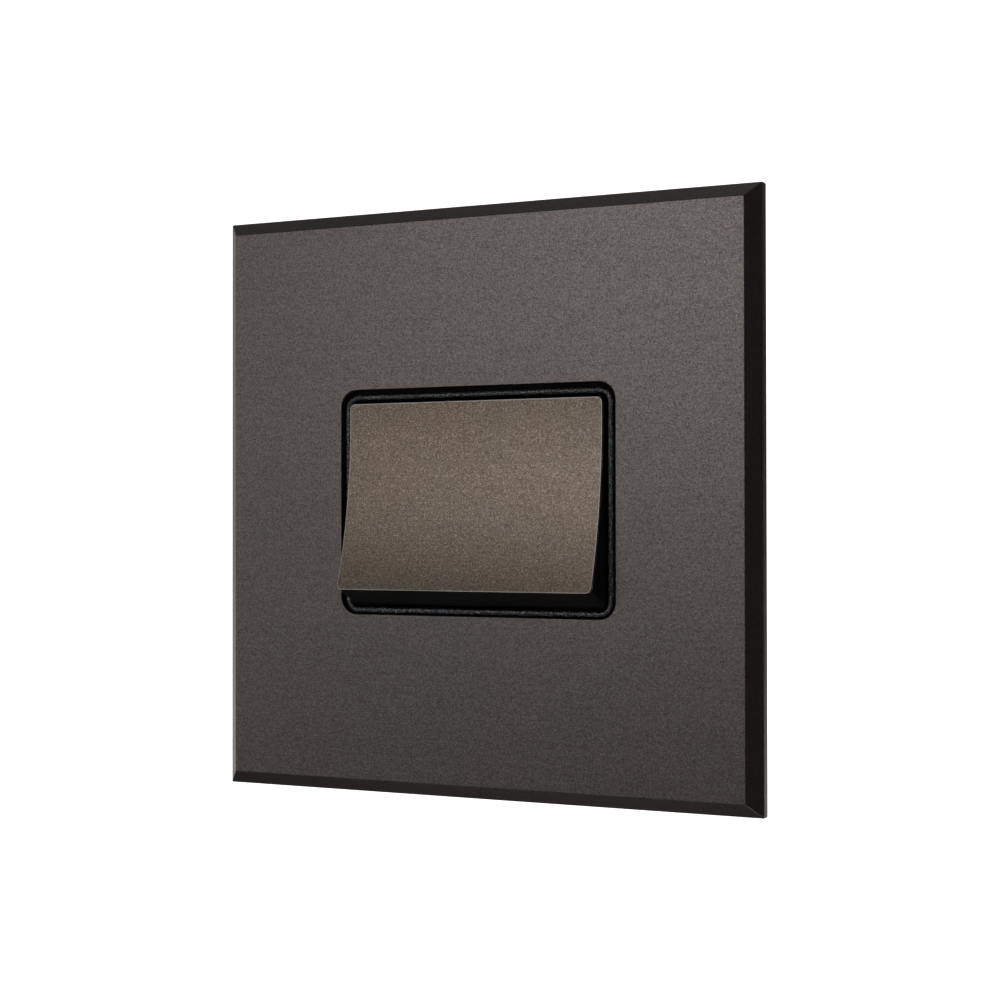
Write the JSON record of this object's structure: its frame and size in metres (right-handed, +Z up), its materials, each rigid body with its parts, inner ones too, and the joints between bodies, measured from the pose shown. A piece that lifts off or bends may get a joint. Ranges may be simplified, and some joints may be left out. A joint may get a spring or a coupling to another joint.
{
  "type": "rocker wall switch",
  "caption": "Wall switch with a square bevelled bronze plate, hidden fixings and a wide dished rocker over a multi-pole mechanism.",
  "frame": {"origin": "middle of the plate's outline, on the wall's surface behind the plate's rim", "axes": "+Y into the wall, +Z up, +X to the right as seen from the room"},
  "size_m": [0.09, 0.0318, 0.09],
  "materials": {
    "bronze": "dark bronze plating, brushed across",
    "pale_bronze": "slightly warmer bronze plating, brushed across, on the rocker's skin",
    "black_plastic": "black, finely textured",
    "rocker_black": "black, satin",
    "moulding": "charcoal moulding, matt",
    "zinc": "zinc-plated pressed steel",
    "steel": "plated steel",
    "brass": "bright brass",
    "copper": "copper strip",
    "silver": "silver contact face",
    "nylon": "natural nylon"
  },
  "bodies": {
    "switch_body": {"face_plate": "bronze", "carrier_frame": "black_plastic", "mounting_frame": "zinc", "fixing_screw_left": "steel", "fixing_screw_right": "steel", "earth_terminal": "brass", "earth_screw": "steel", "trim_collar": "black_plastic", "rocker_housing": "moulding", "base_moulding": "moulding", "frame_screw_top": "steel", "frame_screw_bottom": "steel", "body_screw_1": "steel", "body_screw_2": "steel", "body_screw_3": "steel", "body_screw_4": "steel", "pivot_pin_left": "steel", "pivot_pin_right": "steel", "supply_terminal_1": "brass", "load_terminal_1": "brass", "supply_screw_1": "steel", "load_screw_1": "steel", "fixed_tip_1": "silver", "supply_terminal_2": "brass", "load_terminal_2": "brass", "supply_screw_2": "steel", "load_screw_2": "steel", "fixed_tip_2": "silver", "supply_terminal_3": "brass", "load_terminal_3": "brass", "supply_screw_3": "steel", "load_screw_3": "steel", "fixed_tip_3": "silver"},
    "rocker": {"rocker": "rocker_black", "rocker_cap": "pale_bronze", "plunger_spring_1": "steel", "plunger_spring_2": "steel", "plunger_spring_3": "steel"},
    "plunger_1": {"plunger_1": "nylon"},
    "plunger_2": {"plunger_2": "nylon"},
    "plunger_3": {"plunger_3": "nylon"},
    "contact_1": {"moving_contact_1": "copper", "moving_tip_1": "silver"},
    "contact_2": {"moving_contact_2": "copper", "moving_tip_2": "silver"},
    "contact_3": {"moving_contact_3": "copper", "moving_tip_3": "silver"}
  },
  "joints": [
    {"name": "rocker_tilt", "type": "hinge", "parent": "switch_body", "child": "rocker", "pos_m": [0, 0.0015, -0.00025], "axis": [1, 0, 0], "range_deg": [0, 16.56]},
    {"name": "contact_rock_1", "type": "hinge", "parent": "switch_body", "child": "contact_1", "pos_m": [-0.015, 0.0116, -0.00025], "axis": [1, 0, 0], "range_deg": [-18, 0]},
    {"name": "contact_rock_2", "type": "hinge", "parent": "switch_body", "child": "contact_2", "pos_m": [0, 0.0116, -0.00025], "axis": [1, 0, 0], "range_deg": [-18, 0]},
    {"name": "contact_rock_3", "type": "hinge", "parent": "switch_body", "child": "contact_3", "pos_m": [0.015, 0.0116, -0.00025], "axis": [1, 0, 0], "range_deg": [-18, 0]},
    {"name": "plunger_slide_1", "type": "slide", "parent": "rocker", "child": "plunger_1", "axis": [0, -0.9896, 0.144], "range_m": [0, 0.0006], "stiffness_N_per_m": 900, "springref_m": -0.0015, "deforming": ["plunger_spring_1"]},
    {"name": "plunger_slide_2", "type": "slide", "parent": "rocker", "child": "plunger_2", "axis": [0, -0.9896, 0.144], "range_m": [0, 0.0006], "stiffness_N_per_m": 900, "springref_m": -0.0015, "deforming": ["plunger_spring_2"]},
    {"name": "plunger_slide_3", "type": "slide", "parent": "rocker", "child": "plunger_3", "axis": [0, -0.9896, 0.144], "range_m": [0, 0.0006], "stiffness_N_per_m": 900, "springref_m": -0.0015, "deforming": ["plunger_spring_3"]}
  ],
  "couplings": [
    {"joint": "contact_rock_1", "follows": "rocker_tilt", "ratio": -1.0869},
    {"joint": "contact_rock_2", "follows": "rocker_tilt", "ratio": -1.0869},
    {"joint": "contact_rock_3", "follows": "rocker_tilt", "ratio": -1.0869}
  ]
}
